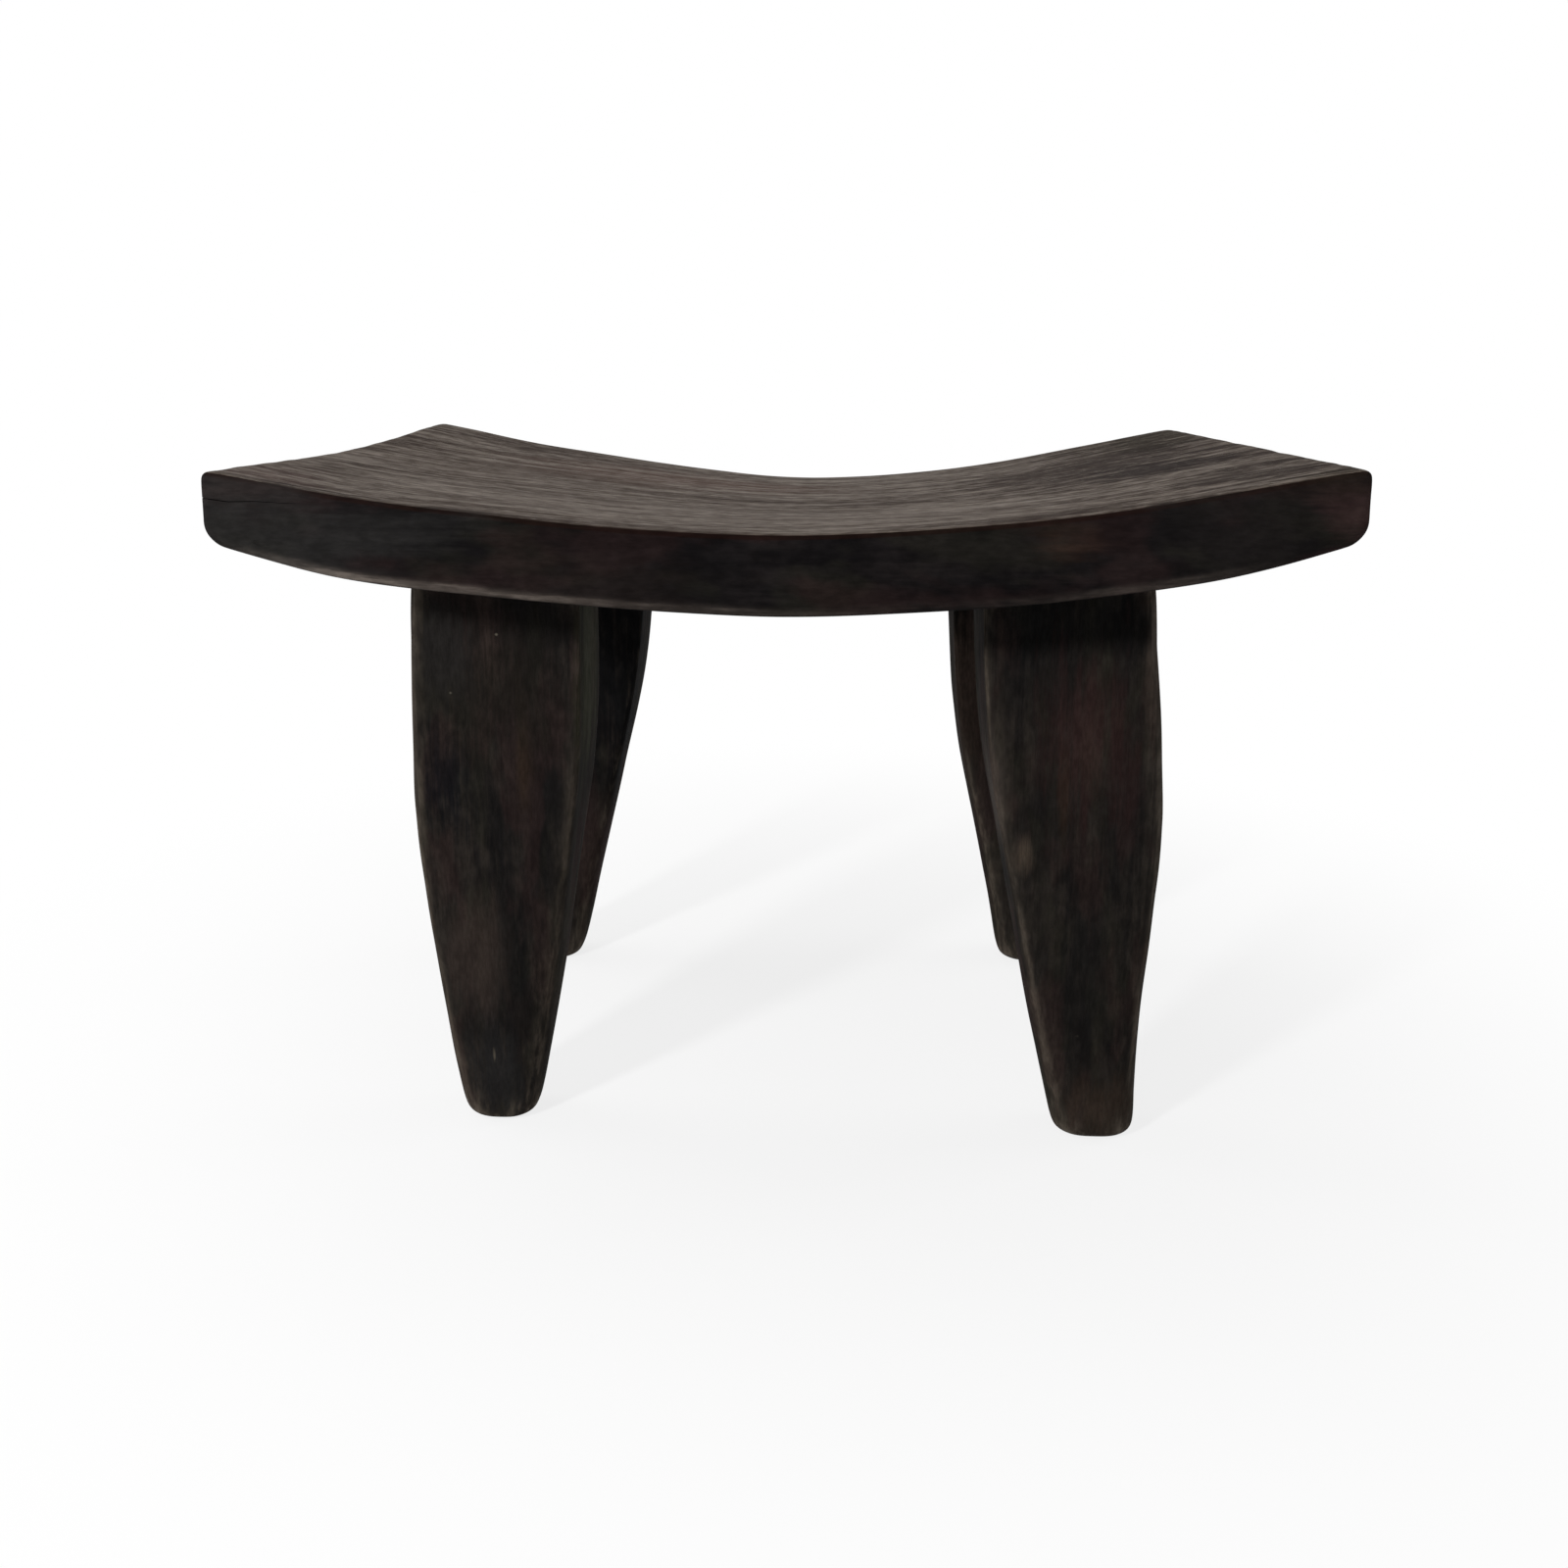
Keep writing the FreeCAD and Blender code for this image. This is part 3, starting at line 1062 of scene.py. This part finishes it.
# %% Stained wood
relief_shares = {"narrow": 0.4, "fine": 0.4, "mottle": 0.15, "pores": -0.35}
relief_depth = 0.4 * MM
relief_strength = 0.5
refraction = 1.5
matt_to_polished = (0.01, 0.1)
roughness_range = (0.8, 0.55)
shine_range = (0.01, 0.065)


def hardwood(name, grain_turn, ply, side, top, red, olive, lip_shade, bare_and_lit, dust, patches=()):
    """Open-pored hardwood, with its grain along X once it is turned.

    The side and the top have a darker and a lighter colour each, the top for what faces up. The ply
    is how many times thicker the streaks are than wide.
    """
    material = bpy.data.materials.new(name)
    material.use_nodes = True
    tree = material.node_tree
    tree.nodes.clear()
    place = add_node(tree, "ShaderNodeTexCoord").outputs["Object"]
    grain = add_node(tree, "ShaderNodeMapping", None, {"Vector": place, "Rotation": grain_turn}).outputs[0]
    facing_up = add_node(tree, "ShaderNodeAttribute", {"attribute_name": "upper"}).outputs["Fac"]

    layers = wood_grain(tree, grain, ply)
    colour = stained(tree, layers, side, red, olive)
    colour = rubbed_above_and_lip_shade(tree, layers, colour, facing_up, top, lip_shade)
    colour = worn_and_painted_light(tree, layers, colour, bare_and_lit)
    colour = patched(tree, layers, colour, place, patches)
    colour = gritty(tree, layers, colour)
    colour = dusted(tree, layers, colour, facing_up, dust)

    relief = add_node(
        tree, "ShaderNodeBump", None,
        {
            "Height": add_up(tree, layers, relief_shares), "Strength": relief_strength,
            "Distance": relief_depth,
        },
    )
    bright = add_node(tree, "ShaderNodeRGBToBW", None, [colour]).outputs[0]
    roughness, shine = [
        add_node(tree, "ShaderNodeMapRange", smoothly, [bright, *matt_to_polished, *ends]).outputs[0]
        for ends in (roughness_range, shine_range)
    ]
    surface = add_node(
        tree, "ShaderNodeBsdfPrincipled", None,
        {
            "Base Color": colour, "Roughness": roughness, "IOR": refraction,
            "Specular IOR Level": shine, "Normal": relief.outputs[0],
        },
    )
    add_node(tree, "ShaderNodeOutputMaterial", None, {"Surface": surface.outputs[0]})
    print(name, "has", len(tree.nodes), "nodes")
    return material


# %% [markdown]
# The seat and the legs have the same stain, but the legs are a little lighter and were never sat on.
# The patches are what makes this stool this one: where its stain pooled, where its heartwood shows red
# and where it is rubbed pale. Some are painted light and shade instead: a shadow close under the seat,
# shade on the back left leg, light on the legs' inner sides and a sheen along the front of the top.

# %% Wood of the seat and of the legs
# Most of these are the seat's own colour; the first is a painted sheen
seat_patches_and_painted_sheen = [
    ((-20, -105, 285), (190, 45, 60), "#574d45", 0.4),    # painted sheen along the front of the top
    ((-60, 70, 290), (110, 60, 60), "#4a3831", 0.5),      # red heartwood, towards the back
    ((-208, -150, 305), (30, 40, 20), "#40302e", 0.4),    # red heartwood, front left corner
    ((-135, -5, 290), (80, 60, 50), "#463c35", 0.4),      # browner, left
    ((150, 20, 295), (90, 150, 60), "#2f2825", 0.75),     # pooled stain, right
    ((166, -30, 300), (40, 60, 40), "#262120", 0.8),      # the darkest of it
    ((193, 75, 300), (14, 70, 60), "#1d1817", 0.5),       # dark band before the right end
    ((205, 125, 305), (50, 75, 40), "#26221c", 0.7),      # pooled stain, back right corner
    ((195, -120, 305), (40, 60, 24), "#2a2422", 0.6),     # pooled stain, front right corner
    ((95, -95, 285), (60, 5, 60), "#70665c", 0.4),        # pale streak, right
    ((-204, -175, 284), (70, 12, 40), "#292827", 0.58),   # greyish left end of the front edge
    ((178, -175, 282), (44, 12, 30), "#201d1c", 0.6),     # darker right part of it
    ((218, -175, 294), (20, 12, 20), "#3a2b2a", 0.6),     # red heartwood at its right end
    ((212, -170, 310), (34, 20, 12), "#221d18", 0.75),    # dark arris above that
    ((-70, -175, 262), (60, 12, 16), "#201a18", 0.45),    # brown streaks in the front edge
    ((113, -175, 280), (22, 12, 9), "#32251f", 0.6),
]
# Most of these are the legs' own colour; some are painted shadow, shade and light, as marked
leg_patches_and_painted_light = [
    ((-104, -122, 240), (54, 30, 20), "#111010", 0.6),    # painted shadow, close under the seat
    ((118, -125, 240), (62, 30, 26), "#111111", 0.8),
    ((-147, -120, 165), (12, 26, 36), "#0e0f12", 0.8),    # front left leg: pooled stain
    ((-113, -122, 178), (5, 20, 34), "#35291c", 0.3),     # rubbed streak
    ((-123, -118, 210), (34, 24, 42), "#1a1815", 0.75),   # thinner stain, upper half
    ((-118, -112, 62), (12, 22, 60), "#111111", 0.7),     # pooled stain, lower half
    ((-137, -112, 88), (17, 22, 34), "#332b27", 0.65),    # rubbed outer and inner side, partly painted light
    ((-144, -122, 222), (18, 20, 22), "#211f1e", 0.7),
    ((-86.5, -98, 215), (5, 30, 60), "#333327", 0.75),
    ((-131, -108, 24), (17, 20, 26), "#232222", 0.6),     # rubbed foot
    ((128, -122, 192), (24, 24, 48), "#362523", 0.5),     # front right leg: red heartwood
    ((121, -122, 165), (4, 20, 34), "#33261a", 0.25),     # rubbed streak and places, partly painted light on the inner side
    ((104.3, -118, 139), (7, 16, 13), "#4a4037", 0.7),
    ((92.5, -112, 152), (6.5, 30, 60), "#463f3a", 0.45),
    ((136, -114, 92), (14, 20, 36), "#1a1918", 0.5),      # darker stain
    ((141, -112, 18), (16, 20, 20), "#332a24", 0.75),     # rubbed foot
    ((-103, 72, 165), (46, 36, 125), "#0f0f10", 0.95),    # back left leg: painted shade
    ((-116, 72, 70), (22, 30, 46), "#2e2422", 0.7),       # rubbed below
    ((91, 72, 165), (20, 36, 90), "#3a302b", 0.8),        # back right leg: rubbed inner side, partly painted light
    ((91, 72, 226), (20, 36, 36), "#0d0d0c", 0.9),        # painted shadow, close under the seat
    ((-122.4, -122, 233.3), (1.2, 6, 0.9), "#8c8577", 0.35),   # specks and a scratch in front
    ((-143.3, -120, 207.2), (0.9, 6, 0.9), "#8c8577", 0.3),
    ((131.3, -112, 52.9), (1.2, 6, 1.1), "#8c8577", 0.35),
    ((-131.7, -110, 34.8), (0.7, 6, 4), "#6b6355", 0.3),
]
upright_grain = (0, math.pi / 2, 0)
# The lip colour is held stain and painted shade where the top turns over its arris
stain = dict(top=("#332b27", "#584e45"), red="#2b1e1d", olive="#23221b", lip_shade="#1b0e0a", dust="#8f8578")
seat_wood = hardwood(
    "stained_hardwood_seat", (0, 0, 0), ply=1.5, side=("#0e0d0e", "#1b1818"), bare_and_lit="#5c544e",
    patches=seat_patches_and_painted_sheen, **stain
)
leg_wood = hardwood(
    "stained_hardwood_leg", upright_grain, ply=1, side=("#131212", "#25211e"), bare_and_lit="#5d544a",
    patches=leg_patches_and_painted_light, **stain
)
seat.data.materials.append(seat_wood)
for leg in legs.values():
    leg.data.materials.append(leg_wood)

# %% [markdown]
# The dowels are turned from a bare pale hardwood such as beech. A peg needs nothing that the CAD model
# lacks, so they stay its own nodes and only get their wood: the same grain, in its own colours.

# %% Wood of the dowels
beech = ("#b08a62", "#cba980")
dowel_wood = hardwood(
    "bare_beech", upright_grain, ply=1, side=beech, top=beech, red="#b5835a", olive="#a98a5f",
    lip_shade=beech[0], bare_and_lit=beech[1], dust="#8a6b4c",
)
for place in legs:
    for dowel in dowels_of(place):
        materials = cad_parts[dowel].data.materials
        materials.clear()
        materials.append(dowel_wood)

# %% [markdown]
# ## Hand over
# Each new piece rides on the stool's one body and stands for the CAD node whose place it takes.

# %% Ride, replace and finish
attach(seat, "root")
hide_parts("seat")
for place, leg in legs.items():
    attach(leg, "root")
    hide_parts("leg_" + place)

bpy.context.scene.view_settings.view_transform = "Standard"
